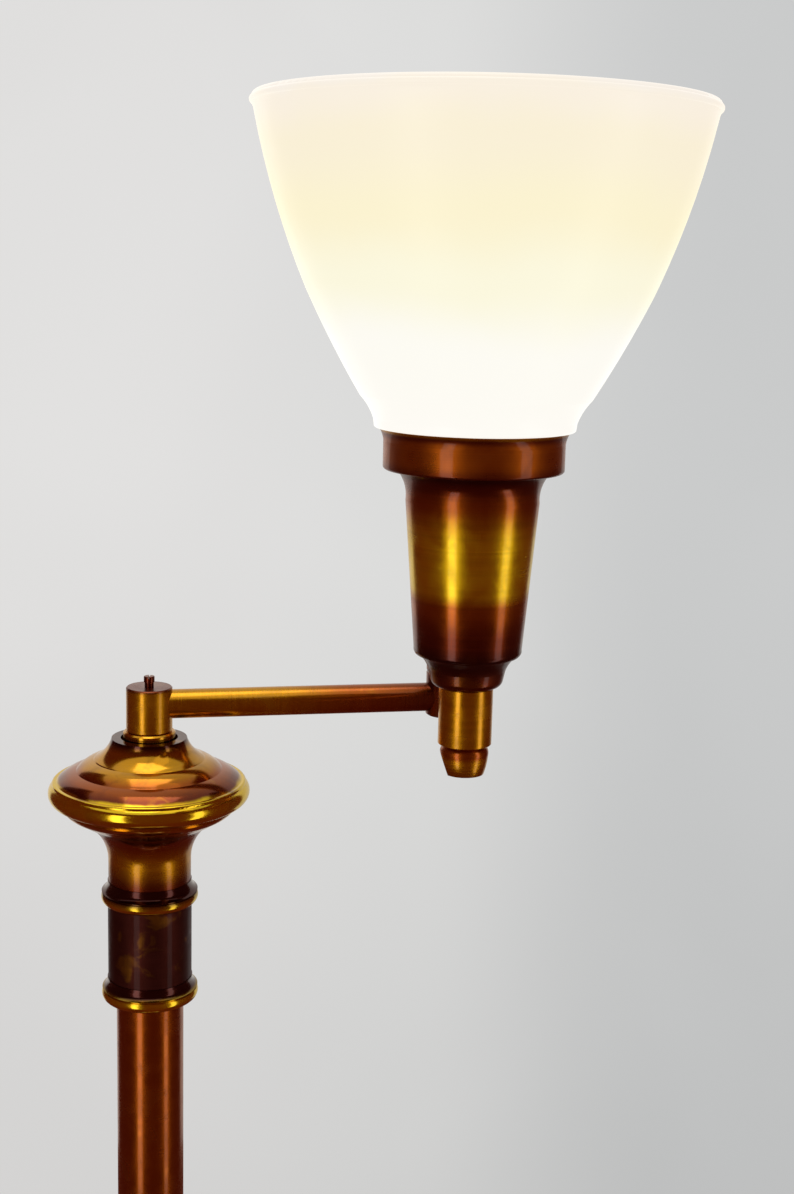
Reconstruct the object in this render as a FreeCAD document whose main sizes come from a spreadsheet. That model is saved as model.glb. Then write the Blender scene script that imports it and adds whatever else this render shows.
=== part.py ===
"""Swing-arm torchiere floor lamp: weighted round base, brass column, two-piece swing arm and an
opal glass bowl over a lamp socket.

Frame: +Z up, origin on the floor at the column's axis. The arms rest at the two bearings given in
the sheet, measured from +X. Every piece is a body of its own, drawn from its own bottom face and
placed by expressions, so that pieces seat on each other whatever the sizes are.
"""

import FreeCAD, Part
import os
import re

import Sketcher
from FreeCAD import Placement, Rotation, Vector

DOC = FreeCAD.newDocument("swing_arm_lamp")
SHEET = DOC.addObject("Spreadsheet::Sheet", "Params")

# Driving dimensions, in millimetres and degrees. A bow is how far an arc's middle stands off the
# straight line between its ends.
SIZES = {
    # clearances
    "slip": 0.02,  # radial play of pieces fixed in each other
    "running": 0.06,  # radial play of pieces that turn on each other
    "thrust_gap": 0.1,  # play between flat faces that turn on each other
    "face_gap": 0.3,  # play under pieces that are lifted off
    "free_hole": 0.3,  # radial play of a hole round the threaded rod
    # base
    "felt_thick": 3,
    "felt_inset": 4.5,
    "shell_r": 133.5,
    "shell_foot_inset": 2.5,
    "shell_belly_height": 4.5,
    "shell_belly_bow": 0.6,
    "shell_brow_inset": 7,
    "shell_brow_height": 12.4,
    "shell_brow_bow": 1.6,
    "shell_height": 42,
    "shell_wall": 1.2,
    "shell_step_r": 108,
    "shell_step_height": 23,
    "shell_step_rise": 2,
    "shell_step_round": 2,
    "shell_step_bow": 0.6,
    "shell_step_width": 5.5,
    "shell_crown_r": 46,
    "shell_crown_height": 35.5,
    "shell_crown_bow": 1.6,
    "shell_top_r": 36,
    "shell_top_bow": 1.2,
    "weight_gap": 12,
    "weight_height": 15,
    "weight_edge": 4,
    "weight_cone_r": 42,
    "weight_boss_r": 28,
    "weight_recess_r": 15,
    "weight_recess_depth": 11,
    "cord_bearing": 90,
    "cord_slot_r": 4.5,
    "cord_slot_rise": 3,
    "cord_height": 7.5,
    "bushing_r": 5,
    "bushing_bore_r": 3.4,
    "bushing_flange_r": 6.8,
    "bushing_flange": 1.6,
    "bushing_tail": 4,
    "bushing_edge": 0.6,
    "wide_washer_r": 12,
    # column
    "pole_length": 928,
    "pole_r": 18.6,
    "pole_wall": 1.6,
    "pole_seat": 6,
    "rod_r": 4.9,
    "rod_bore_r": 3.2,
    "rod_tail": 1.5,
    "foot_height": 31,
    "foot_flange_r": 33,
    "foot_flange": 5,
    "foot_flange_edge": 1,
    "foot_flange_bow": 1.2,
    "foot_ledge": 3.4,
    "foot_waist_r": 23.6,
    "foot_waist_height": 14,
    "foot_waist_bow": 2,
    "foot_neck_bow": 0.3,
    "foot_collar": 1.6,
    "foot_collar_drop": 4,
    "foot_collar_bow": 0.5,
    "foot_lip_drop": 1.5,
    "lip_wall": 0.8,
    "sleeve_step": 4.5,  # how far the sleeve stands out of the pole
    "sleeve_length": 44,
    "sleeve_wall": 4.4,
    "spigot": 3,
    "ring_bead_out": 4.1,  # how far a ring's bead stands out of the sleeve
    "ring_groove": 0.9,
    "ring_groove_rise": 1.2,
    "ring_cove_rise": 5.9,
    "ring_bead_rise": 5.4,
    "ring_bead_foot": 1.2,  # how far a bead's foot stands in from its fullest part
    "ring_bead_bow": 1.1,
    "ring_cove_bow": 0.9,
    "ring_cove_out": 0.3,
    "ring_lip_drop": 0.8,
    "ring_lip": 0.4,
    "neck_height": 34.4,
    "neck_wall": 1.3,
    "neck_straight": 12,
    "neck_flare": 12.8,
    "neck_bow": 3.43,
    # saucer
    "saucer_wall": 1.5,
    "pan_seat_r": 36,
    "pan_edge_r": 42,
    "pan_edge_height": 3.7,
    "pan_bead_r": 47.6,
    "pan_bead_height": 8.2,
    "pan_bead_bow": 0.5,
    "pan_groove": 0.4,
    "pan_groove_rise": 0.5,
    "pan_rim_foot_r": 50.8,
    "pan_rim_foot_height": 10.9,
    "pan_rim_r": 52.6,
    "pan_rim_bow": 3.1,
    "pan_height": 21.1,
    "dish_tongue": 1.5,
    "dish_bead_inset": 1,
    "dish_bead_height": 3.3,
    "dish_bead_bow": 0.5,
    "dish_groove": 1.2,
    "dish_step": 0.5,
    "dish_band_r": 39.6,
    "dish_band_height": 9.3,
    "dish_band_bow": 0.8,
    "dish_brow_r": 30.2,
    "dish_brow_height": 15.2,
    "dish_brow_bow": 0.8,
    "dish_lip_r": 20.4,
    "dish_height": 27,
    "dish_hollow_bow": 1.5,
    "dish_recess_r": 15.5,
    "dish_recess_height": 22.9,
    # hub
    "seat_r": 14.2,
    "seat_height": 7.8,
    "seat_chamfer": 0.8,
    "rod_reach": 3.5,
    "spindle_foot": 4,
    # arms
    "inner_bearing": 12,
    "outer_bearing": -89,
    "arm_length": 167,
    "arm_r": 8,
    "arm_wall": 1.3,
    "arm_seat": 3.3,  # how deep a tube's end lies inside a knuckle's side
    "knuckle_r": 12.5,
    "knuckle_length": 24.5,
    "arm_to_cap": 10,  # from an arm's axis to its knuckles' capped ends
    "knuckle_cap": 3.5,
    "knuckle_chamfer": 0.6,
    "wire_r": 3,
    "pin_r": 6,
    "pin_bore_r": 2.6,
    "pin_cross_r": 2.2,
    "pin_head_wall": 5,
    "washer_thick": 0.6,
    "washer_inset": 0.4,
    "screw_r": 2,
    "screw_neck_r": 2.5,
    "screw_head_r": 2.95,
    "screw_neck": 2.6,
    "screw_head": 3.2,
    "screw_head_edge": 0.5,
    "screw_head_bow": 0.15,
    "screw_depth": 3.6,
    "screw_slot": 0.8,
    "screw_slot_depth": 1,
    "foot_screw_r": 5,
    "foot_screw_head": 1.8,
    "foot_screw_edge": 0.6,
    # turn knob and switch
    "knob_gap": 0.5,
    "knob_height": 13.4,
    "knob_foot_r": 9.4,
    "knob_r": 11.25,
    "knob_top_r": 9.9,
    "knob_fullest": 8.8,
    "knob_flank_bow": 0.3,
    "knob_brow_bow": 0.6,
    "knob_bore_depth": 8,
    "knob_flat": 7.5,
    "knob_flat_tilt": 20,
    "set_screw_r": 1.4,
    "set_screw_height": 8.8,
    "set_screw_inset": 0.8,
    "shaft_r": 1.9,
    # head
    "nipple_reach": 8,
    "socket_knuckle_length": 27.9,
    "bell_height": 14.9,
    "bell_wall": 1.2,
    "bell_foot_r": 12,
    "bell_brow_r": 16.8,
    "bell_brow_height": 3.2,
    "bell_brow_bow": 1.2,
    "bell_waist_r": 17.8,
    "bell_waist_height": 7.8,
    "bell_mouth_r": 22.6,
    "bell_mouth_bow": 0.6,
    "cup_height": 84.9,
    "cup_wall": 1.2,
    "cup_foot_r": 23.6,
    "cup_heel_r": 24.9,
    "cup_heel_height": 3,
    "cup_heel_bow": 0.5,
    "cup_neck_r": 30.4,
    "cup_neck_height": 71,
    "cup_mouth_r": 35,
    "cup_mouth_bow": 1.6,
    "nut_flats": 14,
    "nut_height": 4,
    "lock_washer_r": 9,
    "lock_washer": 1,
    "riser_r": 7.5,
    "riser_height": 22,
    "holder_r": 41,
    "holder_wall": 0.9,
    "holder_height": 18.4,
    "holder_round": 1.4,
    "holder_flare": 1.9,
    "holder_flare_height": 5.4,
    "holder_flare_bow": 0.3,
    "holder_hole_r": 27,
    "dimple_count": 5,
    "dimple_height": 9,
    "dimple_r": 3.9,
    "dimple_tip": 0.4,
    "dimple_bow": 0.3,
    "dimple_edge": 0.6,
    "dimple_bearing": 21,
    # socket
    "switch_r": 16.5,
    "switch_height": 18,
    "switch_nipple_depth": 6,
    "switch_shaft_depth": 12,
    "socket_r": 17.5,
    "socket_height": 34.5,
    "socket_floor": 4,
    "socket_edge": 1.5,
    "socket_edge_bow": 0.3,
    "screw_shell_r": 13.35,
    "screw_shell_wall": 0.5,
    "screw_shell_height": 27,
    "contact_r": 4,
    "contact_height": 2.6,
    "contact_dome": 1,
    "contact_bow": 0.4,
    # bulb
    "bulb_tip_r": 4.2,
    "bulb_tip_height": 1.5,
    "bulb_tip_dome": 1,
    "bulb_tip_bow": 0.3,
    "bulb_insulator_foot": 1,  # how far the insulator's foot stands out round the tip
    "bulb_insulator_inset": 1,
    "bulb_insulator_bow": 0.5,
    "bulb_insulator_height": 4,
    "bulb_cap_r": 12.9,
    "bulb_cap_height": 22,
    "bulb_cap_wall": 0.5,
    "bulb_tuck": 6,  # how far the glass stem stands down in the cap
    "bulb_stem_rise": 0.5,
    "bulb_throat_r": 15.2,
    "bulb_throat_rise": 6,
    "bulb_throat_bow": 0.4,
    "bulb_waist_r": 20.6,
    "bulb_waist_rise": 32,
    "bulb_waist_bow": 0.8,
    "bulb_r": 32,
    "bulb_fullest_rise": 64,
    "bulb_flank_bow": 1.6,
    "bulb_glass_wall": 0.8,
    # glass bowl
    "fitter_r": 37.3,
    "fitter_height": 12.6,
    "fitter_gap": 0.35,
    "fitter_edge": 0.8,
    "fitter_edge_bow": 0.25,
    "fitter_fillet": 1.6,
    "fitter_fillet_bow": 0.45,
    "glass_wall": 3,
    "shoulder_r": 45.4,
    "shoulder_height": 4,
    "shoulder_edge": 1,
    "shoulder_edge_bow": 0.3,
    "shoulder_draft": 0.4,
    "bowl_foot_r": 52.1,
    "bowl_foot_height": 14.3,
    "bowl_foot_bow": 0.65,
    "bowl_mid_r": 76.7,
    "bowl_mid_height": 60.3,
    "bowl_mid_bow": 0.7,
    "bowl_high_r": 100.2,
    "bowl_high_height": 135.4,
    "bowl_high_bow": 2.05,
    "bowl_bead_r": 101.3,
    "bowl_bead_height": 138.2,
    "bowl_bead_bow": 0.2,
    "bead_side": 2.9,
    "bead_side_bow": 0.9,
    "bead_width": 4.3,
    "bead_top_bow": 1.8,
    "bead_inner_bow": 0.2,
    # how far the bowl's inner bends stand above the outer ones
    "inner_mid_rise": 1,
    "inner_foot_rise": 2,
    "inner_shoulder_rise": 1.6,
    "inner_throat_rise": 1.4,
    "inner_throat_bow": 1.2,
}


def fill_sheet():
    for row, (alias, size) in enumerate(SIZES.items(), start=1):
        SHEET.set(f"A{row}", alias)
        SHEET.set(f"B{row}", str(size))
        SHEET.setAlias(f"B{row}", alias)
    DOC.recompute()


def bound(text):
    """The same expression with each size's name pointing at its cell."""
    return re.sub(r"[a-z_]+", lambda m: f"Params.{m[0]}" if m[0] in SIZES else m[0], text)


def value(text):
    return float(SHEET.evalExpression(bound(text)))


# Heights of the seats that pieces stand on, from the floor up.
SHELL_TOP = "(felt_thick + shell_height)"
ROD_FOOT = "(felt_thick + weight_recess_depth - lock_washer - nut_height - rod_tail)"
POLE_FOOT = f"({SHELL_TOP} + foot_height - pole_seat)"
POLE_TOP = f"({POLE_FOOT} + pole_length)"
RING_HEIGHT = "(ring_bead_rise + ring_groove_rise + ring_cove_rise)"
LOWER_RING = f"({POLE_TOP} - pole_seat)"
SLEEVE_SEAT = f"({LOWER_RING} + {RING_HEIGHT})"
UPPER_RING = f"({SLEEVE_SEAT} + sleeve_length)"
NECK_SEAT = f"({UPPER_RING} + {RING_HEIGHT})"
PAN_SEAT = f"({NECK_SEAT} + neck_height)"
DISH_SEAT = f"({PAN_SEAT} + pan_height - dish_tongue)"
HUB_SEAT = f"({DISH_SEAT} + dish_recess_height)"
HUB_JOINT = f"({HUB_SEAT} + seat_height + thrust_gap)"
INNER_ARM = f"({HUB_JOINT} + knuckle_length - arm_to_cap)"
LOWER_ELBOW = f"({INNER_ARM} - arm_to_cap)"
ELBOW_WASHER = f"({LOWER_ELBOW} + knuckle_length)"
UPPER_ELBOW = f"({ELBOW_WASHER} + washer_thick + thrust_gap)"
OUTER_ARM = f"({UPPER_ELBOW} + knuckle_length - arm_to_cap)"
SOCKET_KNUCKLE = f"({OUTER_ARM} - arm_to_cap)"
KNOB_SEAT = f"({SOCKET_KNUCKLE} - knob_gap - knob_height)"
BELL_SEAT = f"({SOCKET_KNUCKLE} + socket_knuckle_length)"
CUP_SEAT = f"({BELL_SEAT} + bell_height)"
RISER_SEAT = f"({CUP_SEAT} + cup_wall + lock_washer + nut_height)"
SWITCH_SEAT = f"({RISER_SEAT} + riser_height)"
SOCKET_SEAT = f"({SWITCH_SEAT} + switch_height)"
BULB_SEAT = f"({SOCKET_SEAT} + socket_floor + contact_height + face_gap)"
HOLDER_SEAT = f"({CUP_SEAT} + cup_height)"
GLASS_SEAT = f"({HOLDER_SEAT} + holder_height + face_gap - fitter_height)"

# Plan positions of the three upright axes.
COLUMN_AXIS = ("0", "0")
ELBOW_AXIS = ("(arm_length * cos(inner_bearing * 1 deg))", "(arm_length * sin(inner_bearing * 1 deg))")
HEAD_AXIS = (
    f"({ELBOW_AXIS[0]} + arm_length * cos(outer_bearing * 1 deg))",
    f"({ELBOW_AXIS[1]} + arm_length * sin(outer_bearing * 1 deg))",
)

ROD_HOLE = "(rod_r + free_hole)"
ROD_FIT = "(rod_r + slip)"

PIECES = []


def piece(label, height, axis=COLUMN_AXIS, bearing="0"):
    """A body whose local origin stands on an upright axis at a height, turned to a bearing."""
    body = DOC.addObject("PartDesign::Body", label)
    body.Label = label
    body.Placement = Placement(Vector(), Rotation(Vector(0, 0, 1), 0))
    for name, text in zip("xyz", (*axis, height)):
        if text != "0":
            body.setExpression(f"Placement.Base.{name}", bound(text))
    if bearing != "0":
        body.setExpression("Placement.Rotation.Angle", bound(f"({bearing}) * 1 deg"))
    PIECES.append(body)
    return body


def sketch_on(body, plane, lift="0", rise="0"):
    """An empty sketch on one of the body's own origin planes, lifted off it along its normal and
    raised in its own upright direction."""
    sketch = body.newObject("Sketcher::SketchObject", f"{body.Name}_{plane}_sketch")
    origin_plane = next(f for f in body.Origin.OriginFeatures if f.Role == plane)
    sketch.AttachmentSupport = [(origin_plane, "")]
    sketch.MapMode = "FlatFace"
    if lift != "0":
        sketch.setExpression(".AttachmentOffset.Base.z", bound(lift))
    if rise != "0":
        sketch.setExpression(".AttachmentOffset.Base.y", bound(rise))
    sketch.Visibility = False
    return sketch


def pin_point(sketch, shape_id, end, across, up):
    """Fixes one end of a sketch shape at the place that two expressions give."""
    for kind, text, axis_id in (("DistanceX", across, -2), ("DistanceY", up, -1)):
        if text == "0":
            sketch.addConstraint(Sketcher.Constraint("PointOnObject", shape_id, end, axis_id))
            continue
        number = sketch.addConstraint(Sketcher.Constraint(kind, -1, 1, shape_id, end, value(text)))
        sketch.setExpression(f"Constraints[{number}]", bound(text))


def end_near(shape, point):
    """1 if the shape's first end lies at the point, else 2."""
    first = shape.StartPoint.distanceToPoint(point)
    return 1 if first <= shape.EndPoint.distanceToPoint(point) else 2


def bowed_arc(start, finish, bow):
    """The arc whose middle stands off the chord by bow, on its right if bow is positive. It is
    made counterclockwise about its own centre, as sketches hold their arcs."""
    chord = finish - start
    middle = (start + finish) * 0.5 + Vector(chord.y, -chord.x, 0).normalize() * bow
    return Part.Arc(start, middle, finish) if bow > 0 else Part.Arc(finish, middle, start)


def draw_outline(sketch, outline):
    """Draws a closed outline, counterclockwise. Each entry is (across, up), reached by a straight
    run from the entry before, or (across, up, bow), reached by an arc that bulges outwards by bow,
    or inwards if bow is negative."""
    points = [Vector(value(entry[0]), value(entry[1]), 0) for entry in outline]
    for index, entry in enumerate(outline):
        start, finish = points[index - 1], points[index]
        bowed = len(entry) == 3
        run = bowed_arc(start, finish, value(entry[2])) if bowed else Part.LineSegment(start, finish)
        sketch.addGeometry(run, False)
    runs = sketch.Geometry
    for index, entry in enumerate(outline):
        following = (index + 1) % len(outline)
        end = end_near(runs[index], points[index])
        beginning = end_near(runs[following], points[index])
        sketch.addConstraint(Sketcher.Constraint("Coincident", index, end, following, beginning))
        pin_point(sketch, index, end, entry[0], entry[1])
    for index, entry in enumerate(outline):
        if len(entry) == 3:
            before = outline[index - 1]
            chord = f"((({entry[0]}) - ({before[0]})) ^ 2 + (({entry[1]}) - ({before[1]})) ^ 2)"
            radius = f"{chord} / (8 * abs({entry[2]})) + abs({entry[2]}) / 2"
            number = sketch.addConstraint(Sketcher.Constraint("Radius", index, value(radius)))
            sketch.setExpression(f"Constraints[{number}]", bound(radius))


def draw_circle(sketch, radius, up="0"):
    circle = Part.Circle(Vector(0, value(up), 0), Vector(0, 0, 1), value(radius))
    number = sketch.addGeometry(circle, False)
    pin_point(sketch, number, 3, "0", up)
    constraint = sketch.addConstraint(Sketcher.Constraint("Radius", number, value(radius)))
    sketch.setExpression(f"Constraints[{constraint}]", bound(radius))


def revolve(body, outline, kind="Revolution", axis="V_Axis", rise="0"):
    """Turns an outline, drawn on the body's XZ plane, about its sketch's own axis."""
    sketch = sketch_on(body, "XZ_Plane", rise=rise)
    draw_outline(sketch, outline)
    turn = body.newObject(f"PartDesign::{kind}", f"{body.Name}_{kind.lower()}")
    turn.Profile = sketch
    turn.ReferenceAxis = (sketch, [axis])
    turn.Angle = 360
    return turn


def turned(label, outline, height, **where):
    """A piece turned about its upright axis: the outline holds radii and heights."""
    body = piece(label, height, **where)
    revolve(body, outline)
    return body


def plain_ring(label, outer, inner, thick, height, **where):
    return turned(label, [(inner, "0"), (outer, "0"), (outer, thick), (inner, thick)], height, **where)


def pocket(body, sketch, both_ways=False):
    """Cuts a sketch through the body along its plane's normal, or both ways."""
    DOC.recompute()
    before = body.Shape.Volume
    cut = body.newObject("PartDesign::Pocket", f"{sketch.Name}_cut")
    cut.Profile = sketch
    cut.Type = "ThroughAll"
    cut.Midplane = both_ways
    cut.Reversed = not both_ways
    DOC.recompute()
    if not body.Shape.Volume < before:
        raise RuntimeError(f"{body.Label}: a pocket cut nothing")


def side_hole(body, radius, height, lift="0", both_ways=False):
    """A round hole along the body's +X, from a plane lifted off its axis out through the side."""
    sketch = sketch_on(body, "YZ_Plane", lift)
    draw_circle(sketch, radius, height)
    pocket(body, sketch, both_ways)


def hex_nut(label, height, axis=COLUMN_AXIS):
    """A hexagon nut on the threaded rod's size."""
    body = piece(label, height, axis)
    sketch = sketch_on(body, "XY_Plane")
    half, corner = "(nut_flats / 2)", "(nut_flats / sqrt(3))"
    outline = [
        (corner, "0"),
        (f"{corner} / 2", half),
        (f"-{corner} / 2", half),
        (f"-{corner}", "0"),
        (f"-{corner} / 2", f"-{half}"),
        (f"{corner} / 2", f"-{half}"),
    ]
    draw_outline(sketch, outline)
    draw_circle(sketch, ROD_FIT)
    pad = body.newObject("PartDesign::Pad", f"{label}_pad")
    pad.Profile = sketch
    pad.setExpression("Length", bound("nut_height"))


# ------------------------------------------------------------------ base


def base_pieces():
    felt_r = "shell_r - shell_foot_inset - felt_inset"
    under_crown = "shell_height - shell_wall"
    turned("felt_pad", [("0", "0"), (felt_r, "0"), (felt_r, "felt_thick"), ("0", "felt_thick")], "0")

    weight_r = "shell_r - shell_foot_inset - weight_gap"
    weight = turned(
        "base_weight",
        [
            (ROD_HOLE, "weight_recess_depth"),
            ("weight_recess_r", "weight_recess_depth"),
            ("weight_recess_r", "0"),
            (weight_r, "0"),
            (weight_r, "weight_height - weight_edge"),
            (f"{weight_r} - weight_edge", "weight_height"),
            ("weight_cone_r", "weight_height"),
            ("weight_boss_r", under_crown),
            (ROD_HOLE, under_crown),
        ],
        "felt_thick",
        bearing="cord_bearing",
    )
    side_hole(weight, "cord_slot_r", "cord_slot_rise")

    brow_r = "shell_r - shell_brow_inset"
    step_r = "shell_step_r - shell_step_width"
    step_top = "shell_step_height + shell_step_rise"
    shell = turned(
        "base_shell",
        [
            ("shell_r - shell_foot_inset - shell_wall", "0"),
            ("shell_r - shell_foot_inset", "0"),
            ("shell_r", "shell_belly_height", "shell_belly_bow"),
            (brow_r, "shell_brow_height", "shell_brow_bow"),
            ("shell_step_r", "shell_step_height", "-shell_step_bow"),
            ("shell_step_r - shell_step_round", step_top, "shell_step_bow"),
            (step_r, step_top),
            ("shell_crown_r", "shell_crown_height", "-shell_crown_bow"),
            ("shell_top_r", "shell_height", "shell_top_bow"),
            (ROD_HOLE, "shell_height"),
            (ROD_HOLE, under_crown),
            ("shell_top_r - shell_wall / 2", under_crown),
            ("shell_crown_r - shell_wall / 2", "shell_crown_height - shell_wall", "-shell_top_bow"),
            (step_r, f"{step_top} - shell_wall", "shell_crown_bow"),
            ("shell_step_r - shell_step_round - shell_wall / 2", f"{step_top} - shell_wall"),
            ("shell_step_r - shell_wall / 2", "shell_step_height - shell_wall", "-shell_step_bow / 2"),
            (f"{brow_r} - shell_wall / 2", "shell_brow_height - shell_wall", "shell_step_bow"),
            ("shell_r - shell_wall", "shell_belly_height", "-shell_brow_bow"),
        ],
        "felt_thick",
        bearing="cord_bearing",
    )
    side_hole(shell, "bushing_r + slip", "cord_height")
    cord_bushing()

    nut_seat = "felt_thick + weight_recess_depth - lock_washer"
    plain_ring("base_washer", "wide_washer_r", ROD_HOLE, "lock_washer", nut_seat)
    hex_nut("base_lock_nut", f"{nut_seat} - nut_height")

    collar_r = "pole_r + lip_wall + foot_collar"
    turned(
        "base_neck",
        [
            (ROD_HOLE, "0"),
            ("foot_flange_r", "0"),
            ("foot_flange_r - foot_flange_edge", "foot_flange", "foot_flange_bow"),
            ("foot_flange_r - foot_ledge", "foot_flange"),
            ("foot_waist_r", "foot_waist_height", "-foot_waist_bow"),
            (collar_r, "foot_height - foot_collar_drop", "-foot_neck_bow"),
            (collar_r, "foot_height - foot_lip_drop", "foot_collar_bow"),
            ("pole_r + lip_wall", "foot_height"),
            ("pole_r + slip", "foot_height"),
            ("pole_r + slip", "foot_height - pole_seat"),
            (ROD_HOLE, "foot_height - pole_seat"),
        ],
        SHELL_TOP,
    )


def cord_bushing():
    """The inlet bushing in the rim's back: a sleeve through the wall with a flange outside it."""
    body = piece("cord_bushing", "felt_thick + cord_height", bearing="cord_bearing")
    inner = "shell_r - shell_wall - bushing_tail"
    revolve(
        body,
        [
            (inner, "bushing_bore_r"),
            ("shell_r + bushing_flange", "bushing_bore_r"),
            ("shell_r + bushing_flange", "bushing_flange_r - bushing_edge"),
            ("shell_r + bushing_flange - bushing_edge", "bushing_flange_r"),
            ("shell_r + slip", "bushing_flange_r"),
            ("shell_r + slip", "bushing_r"),
            (inner, "bushing_r"),
        ],
        axis="H_Axis",
    )


# ---------------------------------------------------------------- column


def ring_outline(foot, top_r, spigot_r):
    """A turned ring: a swelling bead, a groove and a cove, over a given foot, with a spigot on top."""
    bead_r = "pole_r + sleeve_step + ring_bead_out"
    edge_r = f"{bead_r} - ring_bead_bow"
    groove_top = "ring_bead_rise + ring_groove_rise"
    return [
        *foot,
        (f"{bead_r} - ring_bead_foot - ring_bead_bow", "0"),
        (edge_r, "ring_bead_rise", "ring_bead_bow"),
        (f"{edge_r} - ring_groove", "ring_bead_rise"),
        (f"{edge_r} - ring_groove", groove_top),
        (f"{edge_r} + ring_cove_out", groove_top),
        (f"{top_r} + ring_lip", f"{RING_HEIGHT} - ring_lip_drop", "-ring_cove_bow"),
        (f"{top_r} + ring_lip", RING_HEIGHT),
        (spigot_r, RING_HEIGHT),
        (spigot_r, f"{RING_HEIGHT} + spigot"),
        (ROD_HOLE, f"{RING_HEIGHT} + spigot"),
    ]


def column_pieces():
    sleeve_r = "pole_r + sleeve_step"
    sleeve_bore = f"{sleeve_r} - sleeve_wall"
    spigot_r = f"{sleeve_bore} - slip"
    neck_r = f"{sleeve_r} - ring_lip"
    neck_bore = f"{neck_r} - neck_wall"
    plain_ring("main_tube", "pole_r", "pole_r - pole_wall", "pole_length", POLE_FOOT)
    rod_length = f"{HUB_SEAT} + rod_reach - {ROD_FOOT}"
    plain_ring("threaded_rod", "rod_r", "rod_bore_r", rod_length, ROD_FOOT)

    pole_socket = [(ROD_HOLE, "pole_seat"), ("pole_r + slip", "pole_seat"), ("pole_r + slip", "0")]
    turned("lower_ring", ring_outline(pole_socket, sleeve_r, spigot_r), LOWER_RING)
    plain_ring("accent_sleeve", sleeve_r, sleeve_bore, "sleeve_length", SLEEVE_SEAT)
    sleeve_spigot = [(ROD_HOLE, "-spigot"), (spigot_r, "-spigot"), (spigot_r, "0")]
    turned("upper_ring", ring_outline(sleeve_spigot, neck_r, f"{neck_bore} - slip"), UPPER_RING)
    turned(
        "trumpet_neck",
        [
            (neck_bore, "0"),
            (neck_r, "0"),
            (neck_r, "neck_straight"),
            (f"{neck_r} + neck_flare", "neck_height", "-neck_bow"),
            (f"{neck_bore} + neck_flare", "neck_height"),
            (neck_bore, "neck_straight", "neck_bow"),
        ],
        NECK_SEAT,
    )


def saucer_pieces():
    rim_bore = "pan_rim_r - saucer_wall"
    turned(
        "saucer_pan",
        [
            (ROD_HOLE, "0"),
            ("pan_seat_r", "0"),
            ("pan_edge_r", "pan_edge_height"),
            ("pan_bead_r", "pan_bead_height", "pan_bead_bow"),
            ("pan_bead_r - pan_groove", "pan_bead_height + pan_groove_rise"),
            ("pan_rim_foot_r", "pan_rim_foot_height"),
            ("pan_rim_r", "pan_height", "pan_rim_bow"),
            (rim_bore, "pan_height"),
            ("pan_rim_foot_r - saucer_wall", "pan_rim_foot_height + saucer_wall", "-pan_rim_bow"),
            ("pan_edge_r - saucer_wall", "pan_edge_height + saucer_wall"),
            ("pan_seat_r", "saucer_wall"),
            (ROD_HOLE, "saucer_wall"),
        ],
        PAN_SEAT,
    )
    plain_ring("column_washer", "wide_washer_r", ROD_HOLE, "lock_washer", f"{PAN_SEAT} + saucer_wall")
    hex_nut("column_nut", f"{PAN_SEAT} + saucer_wall + lock_washer")

    under_recess = "dish_recess_height - saucer_wall"
    turned(
        "saucer_dish",
        [
            (f"{rim_bore} - slip - saucer_wall", "0"),
            (f"{rim_bore} - slip", "0"),
            (f"{rim_bore} - slip", "dish_tongue"),
            ("pan_rim_r", "dish_tongue"),
            ("pan_rim_r - dish_bead_inset", "dish_bead_height", "dish_bead_bow"),
            ("pan_rim_r - dish_bead_inset - dish_groove", "dish_bead_height"),
            ("dish_band_r", "dish_band_height", "dish_band_bow"),
            ("dish_band_r - dish_step", "dish_band_height + dish_step"),
            ("dish_brow_r", "dish_brow_height", "dish_brow_bow"),
            ("dish_brow_r - dish_step", "dish_brow_height + dish_step"),
            ("dish_lip_r", "dish_height", "-dish_hollow_bow"),
            ("dish_recess_r", "dish_height"),
            ("dish_recess_r", "dish_recess_height"),
            (ROD_HOLE, "dish_recess_height"),
            (ROD_HOLE, under_recess),
            ("dish_recess_r + saucer_wall", under_recess),
            ("dish_brow_r - saucer_wall", "dish_brow_height - saucer_wall", "dish_hollow_bow"),
            ("dish_band_r - saucer_wall", "dish_band_height - saucer_wall"),
            (f"{rim_bore} - slip - saucer_wall", "dish_tongue"),
        ],
        DISH_SEAT,
    )


# ------------------------------------------------------------------ arms


def pin_outline(length, foot_hole):
    """A hollow pin with a tapped hole in its top end, and one in its foot if foot_hole is set."""
    tapped = "screw_r + slip"
    foot = [("pin_bore_r", "0"), ("pin_r", "0")]
    if foot_hole:
        foot = [("pin_bore_r", "pin_head_wall"), (tapped, "pin_head_wall"), (tapped, "0"), ("pin_r", "0")]
    return [
        *foot,
        ("pin_r", length),
        (tapped, length),
        (tapped, f"{length} - pin_head_wall"),
        ("pin_bore_r", f"{length} - pin_head_wall"),
    ]


def pivot_screw(label, height, axis=COLUMN_AXIS):
    """The round-headed screw on top of a pivot, with its shank down through the knuckle's cap."""
    shank_foot = "-(knuckle_cap + 2 * thrust_gap + screw_depth)"
    top = "screw_neck + screw_head"
    screw = turned(
        label,
        [
            ("0", shank_foot),
            ("screw_r", shank_foot),
            ("screw_r", "0"),
            ("screw_neck_r", "0"),
            ("screw_neck_r", "screw_neck"),
            ("screw_head_r", "screw_neck"),
            ("screw_head_r", f"{top} - screw_head_edge"),
            ("screw_head_r - screw_head_edge", top, "screw_head_bow"),
            ("0", top),
        ],
        height,
        axis=axis,
    )
    slot = sketch_on(screw, "XZ_Plane")
    half = "screw_slot / 2"
    floor, above = f"{top} - screw_slot_depth", f"{top} + screw_slot_depth"
    draw_outline(slot, [(f"-{half}", floor), (half, floor), (half, above), (f"-{half}", above)])
    pocket(screw, slot, both_ways=True)


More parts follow.
